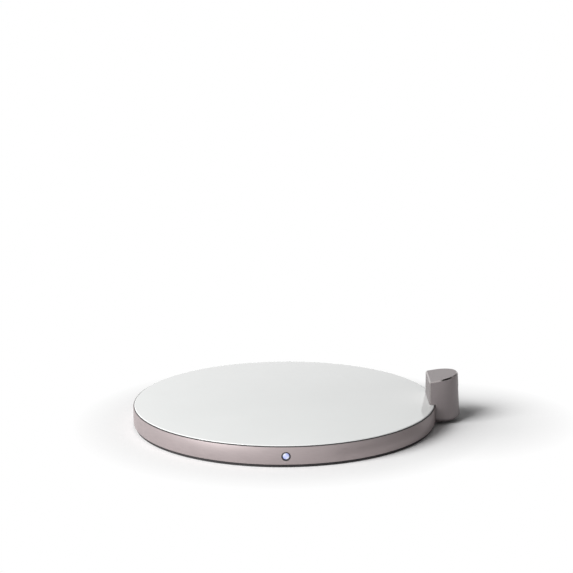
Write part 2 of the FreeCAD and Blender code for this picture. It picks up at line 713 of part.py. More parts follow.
def make_power_button():
    """Translucent cap with two retaining ears behind the ring's wall."""
    body = new_body("power_button")
    face = new_sketch(body, "cap_outline", "XZ_Plane", -cap_face_y)
    draw_circle(face, 0, s.button_z, s.cap_radius)
    cap = pad(body, face, "cap", s.cap_length, reverse=True)
    front = edges_where(cap, lambda edge: abs(edge.CenterOfMass.y - cap_face_y.value) < 0.01)
    bevel(body, "cap_edge", cap, front, s.cap_bevel)
    neck = new_sketch(body, "stem_outline", "XZ_Plane", -cap_face_y - s.cap_length)
    draw_circle(neck, 0, s.button_z, s.stem_radius)
    pad(body, neck, "stem", ear_front_y - cap_face_y - s.cap_length, reverse=True)
    ears = new_sketch(body, "ear_outline", "XZ_Plane", -ear_front_y)
    draw_rectangle(ears, -s.ear_half, s.button_z - s.ear_height / 2,
                   s.ear_half, s.button_z + s.ear_height / 2)
    pad(body, ears, "ears", s.ear_thickness, reverse=True)
    return body


def make_button_bezel():
    """Dark sleeve pressed into the ring round the button cap."""
    body = new_body("button_bezel")
    ends = new_sketch(body, "bezel_outline", "XZ_Plane", s.ring_radius)
    draw_circle(ends, 0, s.button_z, s.bezel_radius)
    draw_circle(ends, 0, s.button_z, s.cap_radius + s.cap_gap)
    pad(body, ends, "bezel_sleeve", s.ring_wall, reverse=True)
    return body


def make_switch():
    """Side-push switch: a body with a slot, and the plunger that runs in it."""
    body = new_body("switch_body")
    block = new_sketch(body, "switch_outline", "XZ_Plane", -switch_front_y)
    draw_rectangle(block, -s.switch_half, board_top, s.switch_half, board_top + s.switch_height)
    pad(body, block, "switch_block", s.switch_depth, reverse=True)
    slot = new_sketch(body, "switch_slot_outline", "XZ_Plane", -switch_front_y)
    half = s.plunger_half + s.fit_gap
    rise = s.plunger_height / 2 + s.fit_gap
    draw_rectangle(slot, -half, s.button_z - rise, half, s.button_z + rise)
    depth = s.plunger_entry + s.button_travel + s.fit_gap
    pocket(body, slot, "switch_slot", depth)
    plunger = small_box("switch_plunger", -s.plunger_half, ear_back_y,
                        s.button_z - s.plunger_height / 2, 2 * s.plunger_half,
                        switch_front_y - ear_back_y + s.plunger_entry, s.plunger_height)
    return [body, plunger]


def make_board_parts():
    """Chips, capacitors, lamp and connectors soldered to the main board."""
    lamp_y = switch_front_y - s.led_depth - s.fit_gap
    row_y = -(board_inner + board_outer) / 2
    lamp = small_box("indicator_lamp", s.plunger_half + s.fit_gap * 2, lamp_y, board_top,
                     s.led_length, s.led_depth, s.led_height)
    control = small_box("control_chip", s.control_x, row_y, board_top,
                        s.control_side, s.control_side, s.chip_height)
    supply = small_box("supply_chip", s.supply_x, row_y + s.supply_back, board_top,
                       s.supply_side, s.supply_side, s.chip_height)
    driver = small_box("heater_driver", -s.driver_x, row_y + s.driver_back, board_top,
                       s.driver_side, s.driver_side, s.chip_height)
    row = []
    for index in range(int(s.capacitor_count.value)):
        x = -(s.capacitor_x + (index + 1) * s.capacitor_pitch)
        piece = small_box("capacitor_%d" % (index + 1), x, row_y + s.capacitor_back, board_top,
                          s.capacitor_width, s.capacitor_length, s.chip_height)
        row.append(piece)
    return [lamp, control, supply, driver, group("board_capacitors", row)]


def make_heat_spreader():
    """Metal plate that carries the heat across the glass."""
    return turned_disc("heat_spreader", ledge_inner - s.spreader_gap, spreader_low, glass_low)


def make_sensing_parts():
    """Temperature sensor, thermal fuse and the flat cable to the main board."""
    sensor = small_box("temperature_sensor", -s.chip_length / 2, -s.chip_width / 2,
                       insulation_low, s.chip_length, s.chip_width, s.insulation_thickness)
    fuse = small_box("thermal_fuse", -s.fuse_length / 2, s.fuse_offset - s.fuse_width / 2,
                     insulation_low, s.fuse_length, s.fuse_width, s.insulation_thickness)
    plug_y = -(board_inner + s.connector_depth + s.fit_gap)
    plug_height = insulation_low - s.ribbon_thickness - board_top
    plug = small_box("sensor_connector", -s.connector_width / 2, plug_y, board_top,
                     s.connector_width, s.connector_depth, plug_height)
    ribbon = small_box("sensor_ribbon", -s.ribbon_width / 2, plug_y,
                       insulation_low - s.ribbon_thickness, s.ribbon_width,
                       s.chip_width - plug_y, s.ribbon_thickness)
    legs = []
    leg_y = -(heater_radius + s.heater_tab_reach) + s.leg_setback
    for index, shift in enumerate((-1, 1)):
        leg_x = s.heater_tab_x + shift * s.heater_tab_width / 4
        legs.append(small_box("heater_lead_%d" % (index + 1), leg_x - s.leg_width / 2,
                              leg_y, board_top, s.leg_width, s.leg_thickness,
                              heater_low - board_top))
    return [sensor, fuse, plug, ribbon, group("heater_leads", legs)]


def make_post_shell():
    """Machined D-shaped post with a sloping top, hooked over the ring."""
    body = new_body("post_shell")
    outline = new_sketch(body, "post_outline", "XY_Plane", s.ring_foot_z)
    draw_nose(outline, flat_x, nose_centre_x, s.post_radius)
    block = pad(body, outline, "post_block", s.post_outer_z - s.ring_foot_z)
    doc.recompute()
    sides = []
    for index, face in enumerate(block.Shape.Faces, start=1):
        upright = face.BoundBox.ZLength > s.post_inner_z.value / 2
        if upright and face.CenterOfMass.x > flat_x.value + 0.1:
            sides.append("Face%d" % index)
    lean = body.newObject("PartDesign::Draft", "post_lean")
    lean.Base = (block, sides)
    lean.NeutralPlane = (outline_plane(body, "XY_Plane"), [""])
    lean.setExpression("Angle", s.post_lean_angle.text)
    slope = (s.post_outer_z - s.post_inner_z) / s.post_depth
    wedge = new_sketch(body, "slope_outline", "XZ_Plane", s.post_radius + s.over_cut)
    rise = slope * s.over_cut
    high_z = s.post_outer_z + rise + s.over_cut
    draw_polygon(wedge, (
        (flat_x - s.over_cut, s.post_inner_z - rise),
        (nose_x + s.over_cut, s.post_outer_z + rise),
        (nose_x + s.over_cut, high_z),
        (flat_x - s.over_cut, high_z),
    ))
    top_cut = pocket(body, wedge, "slope_cut", 2 * (s.post_radius + s.over_cut))

    def is_foot_edge(edge):
        low = all(abs(v.Z - s.ring_foot_z.value) < 0.01 for v in edge.Vertexes)
        return low and edge.CenterOfMass.x > flat_x.value + 0.5

    foot_edges = edges_where(top_cut, is_foot_edge)
    eased = bevel(body, "foot_bevel", top_cut, foot_edges, s.post_foot_bevel)

    def is_polished_edge(edge):
        on_top = all(v.Z > s.post_inner_z.value - 0.5 for v in edge.Vertexes)
        upright = edge.BoundBox.ZLength > s.post_inner_z.value / 2
        on_flat = upright and all(abs(v.X - flat_x.value) < 0.01 for v in edge.Vertexes)
        return on_top or on_flat

    polished = edges_where(eased, is_polished_edge)
    bevel(body, "polished_chamfer", eased, polished, s.post_chamfer)
    seat = new_sketch(body, "seat_outline", "XY_Plane", s.ring_foot_z)
    draw_circle(seat, 0, 0, seat_radius)
    pocket(body, seat, "ring_seat", post_floor_z - s.ring_foot_z, reverse=True)
    low_room = new_sketch(body, "low_cavity_outline", "XY_Plane", s.ring_foot_z)
    draw_crescent(low_room, cavity_seat, nose_centre_x, cavity_radius)
    pocket(body, low_room, "low_cavity", cavity_top_z - s.ring_foot_z, reverse=True)
    high_low_z = post_floor_z + s.post_seat_wall
    high_room = new_sketch(body, "high_cavity_outline", "XY_Plane", high_low_z)
    draw_nose(high_room, flat_x + s.post_wall, nose_centre_x, cavity_radius)
    pocket(body, high_room, "high_cavity", cavity_top_z - high_low_z, reverse=True)
    boss_x = seat_radius + s.fit_gap
    side_bosses = new_sketch(body, "side_boss_outline", "YZ_Plane", boss_x)
    side_pilots = new_sketch(body, "side_pilot_outline", "YZ_Plane", flat_x)
    for side in (-1, 1):
        draw_circle(side_bosses, side * s.post_screw_y, s.post_screw_z, s.post_boss)
        draw_circle(side_pilots, side * s.post_screw_y, s.post_screw_z, s.post_screw_radius)
    pad(body, side_bosses, "side_bosses", s.post_screw_length - s.ring_wall)
    cover_bosses = new_sketch(body, "cover_boss_outline", "XY_Plane", cover_top_z)
    cover_pilots = new_sketch(body, "cover_pilot_outline", "XY_Plane", cover_top_z)
    for side in (-1, 1):
        near_y = side * (cover_screw_y - s.cover_boss)
        wall_y = side * (cover_screw_y + 2 * s.cover_boss)
        draw_rectangle(cover_bosses, cover_screw_x - s.cover_boss, near_y,
                       cover_screw_x + s.cover_boss, wall_y)
        draw_circle(cover_pilots, cover_screw_x, side * cover_screw_y, s.cover_screw_radius)
    pad(body, cover_bosses, "cover_bosses", s.cover_boss_height)
    pocket(body, side_pilots, "side_pilots", post_screw_tip_x - flat_x, reverse=True)
    pocket(body, cover_pilots, "cover_pilots", s.cover_boss_height, reverse=True)
    slot = new_sketch(body, "inlet_outline", "YZ_Plane", nose_x + s.over_cut)
    half = s.inlet_width / 2 + s.inlet_gap
    draw_slot(slot, s.inlet_z - half, s.inlet_z + half, s.inlet_height / 2 + s.inlet_gap)
    pocket(body, slot, "inlet_slot", s.post_wall + 2 * s.over_cut)
    window = new_sketch(body, "post_window_outline", "YZ_Plane", cavity_seat + s.fit_gap)
    draw_rectangle(window, -s.lead_window_half, s.lead_window_low,
                   s.lead_window_half, s.lead_window_high)
    pocket(body, window, "post_window", 2 * s.post_seat_wall)
    return body


def make_post_cover():
    """Plate that closes the post from below."""
    body = new_body("post_cover")
    outline = new_sketch(body, "cover_outline", "XY_Plane", s.ring_foot_z)
    draw_crescent(outline, cavity_seat + s.fit_gap, nose_centre_x, cavity_radius - s.fit_gap)
    pad(body, outline, "cover_plate", s.cover_thickness)
    holes = new_sketch(body, "cover_hole_outline", "XY_Plane", s.ring_foot_z)
    bores = new_sketch(body, "cover_bore_outline", "XY_Plane", s.ring_foot_z)
    for side in (-1, 1):
        place = (cover_screw_x, side * cover_screw_y)
        draw_circle(holes, *place, s.cover_screw_radius + s.fit_gap)
        draw_circle(bores, *place, s.cover_screw_head + s.fit_gap)
    pocket(body, holes, "cover_holes", s.cover_thickness, reverse=True)
    pocket(body, bores, "cover_bores", s.cover_head_height, reverse=True)
    return body


def turned_pin(label, radius, length, x, y, z, sideways=False):
    """A round length of metal, upright or lying along X."""
    rod = doc.addObject("Part::Cylinder", label)
    rod.setExpression("Radius", radius.text)
    rod.setExpression("Height", length.text)
    for name, size in (("x", x), ("y", y), ("z", z)):
        rod.setExpression("Placement.Base." + name, size_of(size).text)
    if sideways:
        rod.Placement.Rotation = FreeCAD.Rotation(FreeCAD.Vector(0, 1, 0), 90)
    return rod


def screw(label, head_radius, head_height, thread_radius, length, x, y, z, sideways=False):
    """A screw with a flat head, its head's outer face at the given place."""
    head = turned_pin(label + "_head", head_radius, head_height, x, y, z, sideways)
    shank = turned_pin(label + "_shank", thread_radius, head_height + length, x, y, z, sideways)
    whole = doc.addObject("Part::Fuse", label)
    whole.Base = head
    whole.Tool = shank
    return whole


def make_post_fasteners():
    """Screws from the ring into the post and from the cover into the post."""
    sides = []
    covers = []
    for index, side in enumerate((-1, 1)):
        sides.append(screw("post_screw_%d" % (index + 1), s.post_screw_head, s.post_head_height,
                           s.post_screw_radius, s.post_screw_length, post_screw_head_x,
                           side * s.post_screw_y, s.post_screw_z, sideways=True))
        covers.append(screw("cover_screw_%d" % (index + 1), s.cover_screw_head,
                            s.cover_head_height, s.cover_screw_radius, s.cover_screw_length,
                            cover_screw_x, side * cover_screw_y, s.ring_foot_z))
    return [group("post_screws", sides), group("cover_screws", covers)]


def make_inlet():
    """Power inlet: sheet-metal socket, contact tongue and its small board."""
    socket = new_body("inlet_socket")
    low = s.inlet_z - s.inlet_width / 2
    high = s.inlet_z + s.inlet_width / 2
    outline = new_sketch(socket, "socket_outline", "YZ_Plane", inlet_back_x)
    draw_slot(outline, low, high, s.inlet_height / 2)
    pad(socket, outline, "socket_block", s.inlet_length)
    mouth = new_sketch(socket, "mouth_outline", "YZ_Plane", inlet_front_x)
    draw_slot(mouth, low + s.inlet_wall, high - s.inlet_wall, s.inlet_height / 2 - s.inlet_wall)
    pocket(socket, mouth, "mouth", s.inlet_length - s.inlet_floor)
    tongue = small_box("inlet_tongue", inlet_back_x + s.inlet_floor, -s.tongue_thickness / 2,
                       s.inlet_z - s.tongue_width / 2,
                       s.inlet_length - s.inlet_floor - s.tongue_sink,
                       s.tongue_thickness, s.tongue_width)
    board_foot = cover_top_z + s.cover_boss_height + s.fit_gap
    board = small_box("inlet_board", cavity_seat + s.fit_gap, s.inlet_height / 2, board_foot,
                      s.inlet_board_length, s.inlet_board_thickness,
                      s.inlet_z + s.inlet_board_rise - board_foot)
    return [socket, tongue, board]


def offset_route(points, distance):
    """Shift a route sideways by the same distance along its whole length."""
    shifted = []
    for index, point in enumerate(points):
        before = points[max(index - 1, 0)]
        after = points[min(index + 1, len(points) - 1)]
        normals = []
        for first, second in ((before, point), (point, after)):
            run = second - first
            if run.Length > 0:
                normals.append(FreeCAD.Vector(-run.y, run.x, 0).normalize())
        middle = normals[0] + normals[-1]
        middle.normalize()
        shifted.append(point + middle * (distance / middle.dot(normals[0])))
    return shifted


def make_power_leads():
    """Two flat leads from the inlet through the ring's window to the main board."""
    end_x = s.board_half - s.lead_landing
    end_y = -(board_inner - s.lead_end)
    bend_x = ledge_inner - s.lead_bend
    turn_x = s.board_half + s.lead_turn_x
    turn_y = end_y + s.lead_turn_y
    route = []
    for x, y in ((inlet_back_x, 0), (bend_x, 0), (turn_x, turn_y), (end_x, end_y)):
        route.append(vector(x, y) + UP * board_top.value)
    half = s.lead_width.value / 2
    leads = []
    for index, side in enumerate((-0.5, 0.5)):
        middle = side * s.lead_pitch.value
        outline = offset_route(route, middle + half) + offset_route(route, middle - half)[::-1]
        face = Part.Face(Part.makePolygon(outline + outline[:1]))
        lead = doc.addObject("Part::Feature", "power_lead_%d" % (index + 1))
        lead.Shape = face.extrude(UP * s.lead_width.value)
        leads.append(lead)
    return group("power_leads", leads)


def main():
    parts = [
        make_rim_ring(),
        make_glass_top(),
        make_glass_gasket(),
        make_heat_spreader(),
        make_heater_film(),
        make_insulation_pad(),
        make_base_plate(),
        make_foot_pad(),
        make_main_board(),
        make_base_screws(),
        make_power_button(),
        make_button_bezel(),
        make_post_shell(),
        make_post_cover(),
        make_power_leads(),
    ]
    parts += make_switch()
    parts += make_board_parts()
    parts += make_sensing_parts()
    parts += make_post_fasteners()
    parts += make_inlet()
    doc.recompute()
    return parts


parts = main()
for item in doc.Objects:
    if "Invalid" in item.State or "Error" in item.State:
        raise ValueError("%s failed: %s" % (item.Label, item.State))
os.makedirs("parts", exist_ok=True)
for part in parts:
    if part.Shape.isNull() or not part.Shape.isValid():
        raise ValueError("%s has no valid shape" % part.Label)
    part.Shape.exportStep("parts/%s.step" % part.Label)
    print(part.Label, round(part.Shape.Volume, 3), len(part.Shape.Solids))
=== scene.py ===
import math

import bmesh
import bpy
from mathutils import Matrix, Vector


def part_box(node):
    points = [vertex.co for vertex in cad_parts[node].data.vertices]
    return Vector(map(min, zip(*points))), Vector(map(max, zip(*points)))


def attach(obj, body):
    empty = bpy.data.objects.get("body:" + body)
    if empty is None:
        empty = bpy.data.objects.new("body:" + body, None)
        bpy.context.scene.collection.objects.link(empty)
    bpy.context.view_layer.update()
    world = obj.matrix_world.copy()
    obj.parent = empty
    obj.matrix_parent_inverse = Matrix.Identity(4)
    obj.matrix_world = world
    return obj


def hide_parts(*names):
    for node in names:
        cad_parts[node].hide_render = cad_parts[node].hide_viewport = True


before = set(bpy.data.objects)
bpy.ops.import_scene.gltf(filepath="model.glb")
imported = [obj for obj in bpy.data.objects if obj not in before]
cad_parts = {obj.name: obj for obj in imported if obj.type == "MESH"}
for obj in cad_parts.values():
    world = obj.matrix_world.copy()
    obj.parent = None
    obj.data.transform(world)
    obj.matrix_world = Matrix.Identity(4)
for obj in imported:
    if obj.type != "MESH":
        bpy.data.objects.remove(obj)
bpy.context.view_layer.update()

MM = 0.001

# The fitted camera, in mm and degrees.
CAMERA_SPOT = (-3.87, -547.29, 165.6)
CAMERA_TARGET = (0.91, -0.01, 45.5)
CAMERA_LENS = 107.715
CAMERA_ROLL = -0.363
SENSOR_WIDTH = 36.0

# Where the button's middle lies above the table, in mm.
BUTTON_HEIGHT = 3.6

# The post's round nose turns about this place, and its top starts above this height, in mm.
POST_MIDDLE_X = 51.5
POST_TOP_START = 13.8

# The floor is plain white past these rounds: middle, start and end of the change, in mm.
FLOOR_ROUNDS = (((0, 0, 0), 50, 70), ((52, 0, 0), 12, 46))

# Dark cards, in mm: a standing one, one close over the table and one overhead.
SIDE_CARD_X = 250
SIDE_CARD_SPAN = (-350, 550)
SIDE_CARD_TOP = 450
SIDE_CARD_FADE = ((250, 90, 60), 90, 330)
LOW_CARD_HEIGHT = 0.3
LOW_CARD_INNER = (58, (-72, -58, -45, -32, -18))
LOW_CARD_OUTER = (78, (-6, -20, -35, -50, -65))
HIGH_CARD_HEIGHT = 450
HIGH_CARD_OUTLINE = ((0, -400), (600, -400), (600, 300), (0, 300))
HIGH_CARD_FADE = ((300, -60, 450), 170, 240)


# Node helpers


def finish_material(name, colour, metallic, roughness):
    """A principled finish with its even values set on the shader itself."""
    material = bpy.data.materials.new(name)
    material.use_nodes = True
    shader = material.node_tree.nodes["Principled BSDF"]
    shader.inputs["Base Color"].default_value = (*colour, 1.0)
    shader.inputs["Metallic"].default_value = metallic
    shader.inputs["Roughness"].default_value = roughness
    return material, shader


def add_node(material, kind, **settings):
    node = material.node_tree.nodes.new(kind)
    for key, value in settings.items():
        setattr(node, key, value)
    return node


def link(material, source, target):
    material.node_tree.links.new(source, target)


def math_step(material, operation, first, second=None):
    node = add_node(material, "ShaderNodeMath", operation=operation)
    for socket, value in zip(node.inputs, (first, second)):
        if value is None:
            continue
        if isinstance(value, (int, float)):
            socket.default_value = value
        else:
            link(material, value, socket)
    return node.outputs[0]


def place(material, centre=(0, 0, 0), stretch=(1, 1, 1)):
    """Object coordinates moved to a centre, in mm, and stretched."""
    coordinates = add_node(material, "ShaderNodeTexCoord")
    mapping = add_node(material, "ShaderNodeMapping")
    mapping.inputs["Location"].default_value = [-c * MM * k for c, k in zip(centre, stretch)]
    mapping.inputs["Scale"].default_value = stretch
    link(material, coordinates.outputs["Object"], mapping.inputs["Vector"])
    return mapping.outputs["Vector"]


def round_place(material, along_radius, along_turn, along_height):
    """Coordinates that run round the plate's upright axis, for lathe marks."""
    point = place(material)
    split = add_node(material, "ShaderNodeSeparateXYZ")
    link(material, point, split.inputs[0])
    x, y, z = split.outputs
    across = math_step(material, "MULTIPLY", x, x)
    depth = math_step(material, "MULTIPLY", y, y)
    radius = math_step(material, "SQRT", math_step(material, "ADD", across, depth))
    turn = math_step(material, "ARCTAN2", y, x)
    join = add_node(material, "ShaderNodeCombineXYZ")
    link(material, math_step(material, "MULTIPLY", radius, along_radius), join.inputs[0])
    link(material, math_step(material, "MULTIPLY", turn, along_turn), join.inputs[1])
    link(material, math_step(material, "MULTIPLY", z, along_height), join.inputs[2])
    return join.outputs[0]


def noise(material, vector, scale, detail=3.0, roughness=0.55):
    node = add_node(material, "ShaderNodeTexNoise")
    node.inputs["Scale"].default_value = scale
    node.inputs["Detail"].default_value = detail
    node.inputs["Roughness"].default_value = roughness
    link(material, vector, node.inputs["Vector"])
    return node.outputs["Fac"]


def colours(material, factor, stops):
    """A colour ramp: stops are (position, colour)."""
    node = add_node(material, "ShaderNodeValToRGB")
    ramp = node.color_ramp
    ramp.elements[0].position, ramp.elements[0].color = stops[0][0], (*stops[0][1], 1)
    ramp.elements[1].position, ramp.elements[1].color = stops[-1][0], (*stops[-1][1], 1)
    for position, colour in stops[1:-1]:
        ramp.elements.new(position).color = (*colour, 1)
    link(material, factor, node.inputs["Fac"])
    return node.outputs["Color"]


def spread(material, factor, low, high, start=0.3, end=0.7):
    """A number that goes from low to high as the factor goes from start to end."""
    node = add_node(material, "ShaderNodeMapRange")
    node.inputs["From Min"].default_value = start
    node.inputs["From Max"].default_value = end
    node.inputs["To Min"].default_value = low
    node.inputs["To Max"].default_value = high
    link(material, factor, node.inputs["Value"])
    return node.outputs["Result"]


def relief(material, shader, height, depth, strength=1.0):
    """Bump from a height field; depth is in mm."""
    node = add_node(material, "ShaderNodeBump")
    node.inputs["Strength"].default_value = strength
    node.inputs["Distance"].default_value = depth * MM
    link(material, height, node.inputs["Height"])
    link(material, node.outputs["Normal"], shader.inputs["Normal"])


def tint(colour, factor):
    return tuple(c * factor for c in colour)


def foot_rubber():
    """Matte silicone with a fine grip of rings."""
    colour = (0.014, 0.012, 0.013)
    material, shader = finish_material("dark_silicone", colour, 0.0, 0.68)
    grain = noise(material, place(material), 1500.0, 3.0)
    shade = colours(material, grain, [(0.3, tint(colour, 0.86)), (0.7, tint(colour, 1.16))])
    link(material, shade, shader.inputs["Base Color"])
    link(material, spread(material, grain, 0.60, 0.76), shader.inputs["Roughness"])
    grip = noise(material, round_place(material, 2600, 4, 0), 1.0, 2.0)
    both = math_step(material, "ADD", grip, math_step(material, "MULTIPLY", grain, 0.4))
    relief(material, shader, both, 0.03, 0.6)
    return material


def mottled(name, colour, metallic, roughness, scale, change=0.06, depth=0.004,
            stretch=(1, 1, 1)):
    """A finish with fine grain: colour, gloss and relief all change a little with one noise."""
    material, shader = finish_material(name, colour, metallic, roughness)
    grain = noise(material, place(material, stretch=stretch), scale)
    shade = colours(material, grain,
                    [(0.3, tint(colour, 1 - change)), (0.7, tint(colour, 1 + change))])
    link(material, shade, shader.inputs["Base Color"])
    gloss = spread(material, grain, roughness * 0.88, roughness * 1.12)
    link(material, gloss, shader.inputs["Roughness"])
    relief(material, shader, grain, depth)
    return material


# Finishes


def turned_aluminium():
    """Rose-grey anodised aluminium with marks that run round the ring."""
    colour = (0.352, 0.302, 0.303)
    material, shader = finish_material("turned_rose_aluminium", colour, 0.55, 0.46)
    marks = noise(material, round_place(material, 9000, 14, 9000), 1.0, 4.0, 0.6)
    cloud = noise(material, round_place(material, 300, 9, 300), 1.0, 2.0)
    both = math_step(material, "ADD", math_step(material, "MULTIPLY", marks, 0.7),
                     math_step(material, "MULTIPLY", cloud, 0.3))
    shade = colours(material, both, [(0.3, tint(colour, 0.94)), (0.7, tint(colour, 1.06))])
    link(material, shade, shader.inputs["Base Color"])
    link(material, spread(material, both, 0.40, 0.52), shader.inputs["Roughness"])
    relief(material, shader, marks, 0.004, 0.6)
    return material


def brushed_post(name, colour, grain):
    """The same metal on the post, brushed one way, in the colour that it is given, which here
    carries painted shade.
    """
    material, shader = finish_material(name, colour, 0.6, 0.44)
    marks = noise(material, place(material, stretch=grain), 1.0, 4.0, 0.6)
    shade = colours(material, marks, [(0.3, tint(colour, 0.95)), (0.7, tint(colour, 1.05))])
    link(material, shade, shader.inputs["Base Color"])
    link(material, spread(material, marks, 0.38, 0.50), shader.inputs["Roughness"])
    relief(material, shader, marks, 0.004, 0.5)
    return material


def polished_edge():
    """The bright cut chamfers on the post."""
    colour = (0.40, 0.365, 0.365)
    material, shader = finish_material("polished_chamfer", colour, 1.0, 0.12)
    marks = noise(material, place(material), 5000.0, 2.0)
    link(material, spread(material, marks, 0.09, 0.17), shader.inputs["Roughness"])
    relief(material, shader, marks, 0.001, 0.4)
    return material


def white_glass():
    colour = (0.80, 0.815, 0.805)
    material, shader = finish_material("white_glass", colour, 0.0, 0.07)
    shader.inputs["IOR"].default_value = 1.5
    shader.inputs["Coat Weight"].default_value = 0.3
    shader.inputs["Coat Roughness"].default_value = 0.03
    cloud = noise(material, place(material), 40.0, 2.0)
    shade = colours(material, cloud, [(0.3, tint(colour, 0.985)), (0.7, tint(colour, 1.015))])
    link(material, shade, shader.inputs["Base Color"])
    fine = noise(material, place(material), 900.0)
    link(material, spread(material, fine, 0.055, 0.085), shader.inputs["Roughness"])
    relief(material, shader, cloud, 0.02, 0.15)
    return material


def lit_lens():
    """Frosted cap, lit from behind; its glow turns white on the upper left and lower right as
    painted highlights, bluish on the other two sides.
    """
    colour = (0.30, 0.33, 0.46)
    material, shader = finish_material("lit_lens", colour, 0.0, 0.22)
    shader.inputs["Emission Strength"].default_value = 0.50
    split = add_node(material, "ShaderNodeSeparateXYZ")
    link(material, place(material, (0, 0, BUTTON_HEIGHT)), split.inputs[0])
    # Painted highlight: the glow colour goes white where X and Z have opposite signs (upper left,
    # lower right) and bluish elsewhere.
    painted_highlight_mask = math_step(material, "MULTIPLY", split.outputs["X"], split.outputs["Z"])
    painted_highlight_from, blue_from = -3e-7, 2e-7
    glow_and_painted_highlight = colours(material, spread(material, painted_highlight_mask, 1.0, 0.0, painted_highlight_from, blue_from),
                   [(0.0, (0.30, 0.35, 0.85)), (0.4, (0.52, 0.58, 0.92)), (1.0, (1.0, 1.0, 1.0))])
    link(material, glow_and_painted_highlight, shader.inputs["Emission Color"])
    frost = noise(material, place(material), 9000.0, 2.0)
    relief(material, shader, frost, 0.003, 0.4)
    return material


def heater_tracks():
    """Amber film with an etched heating track in rings."""
    material, shader = finish_material("amber_film", (0.42, 0.17, 0.03), 0.0, 0.32)
    shader.inputs["Coat Weight"].default_value = 0.4
    rings = add_node(material, "ShaderNodeTexWave", wave_type="RINGS", rings_direction="Z")
    rings.inputs["Scale"].default_value = 120.0
    rings.inputs["Distortion"].default_value = 0.0
    link(material, place(material), rings.inputs["Vector"])
    shade = colours(material, rings.outputs["Fac"],
                    [(0.42, (0.46, 0.19, 0.035)), (0.58, (0.24, 0.075, 0.018))])
    link(material, shade, shader.inputs["Base Color"])
    relief(material, shader, rings.outputs["Fac"], 0.02, 0.5)
    return material


def board_mask():
    """Green solder mask with faint copper lines under it."""
    material, shader = finish_material("green_board", (0.02, 0.14, 0.06), 0.0, 0.38)
    lanes = add_node(material, "ShaderNodeTexBrick")
    lanes.inputs["Scale"].default_value = 220.0
    lanes.inputs["Mortar Size"].default_value = 0.03
    lanes.inputs["Color1"].default_value = (0.016, 0.12, 0.05, 1)
    lanes.inputs["Color2"].default_value = (0.022, 0.155, 0.066, 1)
    lanes.inputs["Mortar"].default_value = (0.05, 0.24, 0.11, 1)
    link(material, place(material), lanes.inputs["Vector"])
    link(material, lanes.outputs["Color"], shader.inputs["Base Color"])
    relief(material, shader, lanes.outputs["Fac"], 0.02, 0.4)
    return material


# Finishes with a plain grain: name, colour, metallic, roughness, scale, change, depth, stretch.
GRAINED = {
    "seal": ("dark_seal", (0.022, 0.021, 0.022), 0.0, 0.55, 3000.0),
    "plastic": ("dark_plastic", (0.030, 0.029, 0.031), 0.0, 0.5, 2600.0, 0.1, 0.008),
    "aluminium": ("bare_aluminium", (0.76, 0.765, 0.77), 1.0, 0.38, 1.0, 0.05, 0.004,
                  (400, 9000, 400)),
    "insulation": ("white_insulation", (0.78, 0.77, 0.73), 0.0, 0.9, 1400.0, 0.08, 0.06),
    "steel": ("screw_steel", (0.50, 0.50, 0.51), 1.0, 0.3, 4000.0, 0.06, 0.003),
    "chip": ("chip_black", (0.024, 0.024, 0.026), 0.0, 0.6, 5000.0, 0.12, 0.004),
    "lamp": ("lamp_white", (0.82, 0.84, 0.80), 0.0, 0.35, 2500.0, 0.04, 0.003),
    "tan": ("capacitor_tan", (0.42, 0.28, 0.16), 0.0, 0.42, 3000.0, 0.08, 0.004),
    "lead": ("lead_insulation", (0.30, 0.045, 0.035), 0.0, 0.45, 1500.0, 0.06, 0.006),
    "gold": ("contact_gold", (0.83, 0.60, 0.26), 1.0, 0.26, 6000.0, 0.05, 0.001),
}

FINISH = {
    "turned": turned_aluminium(),
    # Painted shade: the post's sides and top are darker than the ring's same metal, and the sides
    # darker than the top.
    "post": brushed_post("brushed_rose_sides_painted_shade", (0.222, 0.196, 0.198), (500, 500, 9000)),
    "post_top": brushed_post("brushed_rose_top_painted_shade", (0.262, 0.236, 0.238), (500, 9000, 500)),
    "polish": polished_edge(),
    "glass": white_glass(),
    "lens": lit_lens(),
    "film": heater_tracks(),
    "board": board_mask(),
    "silicone": foot_rubber(),
}
FINISH.update({key: mottled(*values) for key, values in GRAINED.items()})

NODE_FINISH = {
    "base_plate": "plastic",
    "base_screws": "steel",
    "board_capacitors": "tan",
    "control_chip": "chip",
    "heat_spreader": "aluminium",
    "heater_driver": "chip",
    "heater_film": "film",
    "heater_leads": "lead",
    "indicator_lamp": "lamp",
    "inlet_board": "board",
    "insulation_pad": "insulation",
    "main_board": "board",
    "post_cover": "plastic",
    "post_screws": "steel",
    "power_leads": "lead",
    "sensor_connector": "lamp",
    "sensor_ribbon": "film",
    "supply_chip": "chip",
    "switch_body": "chip",
    "switch_plunger": "plastic",
    "temperature_sensor": "chip",
    "thermal_fuse": "lamp",
    "inlet_socket": "steel",
    "inlet_tongue": "plastic",
}


# Shapes


def show(mesh_data, name, body, finishes, stands_for=()):
    """One finished piece at the origin, riding its body."""
    mesh = bpy.data.meshes.new(name)
    mesh_data.to_mesh(mesh)
    mesh_data.free()
    for finish in finishes:
        mesh.materials.append(FINISH[finish])
    piece = bpy.data.objects.new(name, mesh)
    bpy.context.scene.collection.objects.link(piece)
    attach(piece, body)
    if stands_for:
        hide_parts(*stands_for)


def smooth(bm, angle):
    """Smooth faces with a crease wherever two of them meet at more than the angle, in degrees."""
    for face in bm.faces:
        face.smooth = True
    for edge in bm.edges:
        edge.smooth = len(edge.link_faces) == 2 and edge.calc_face_angle(0.0) < math.radians(angle)


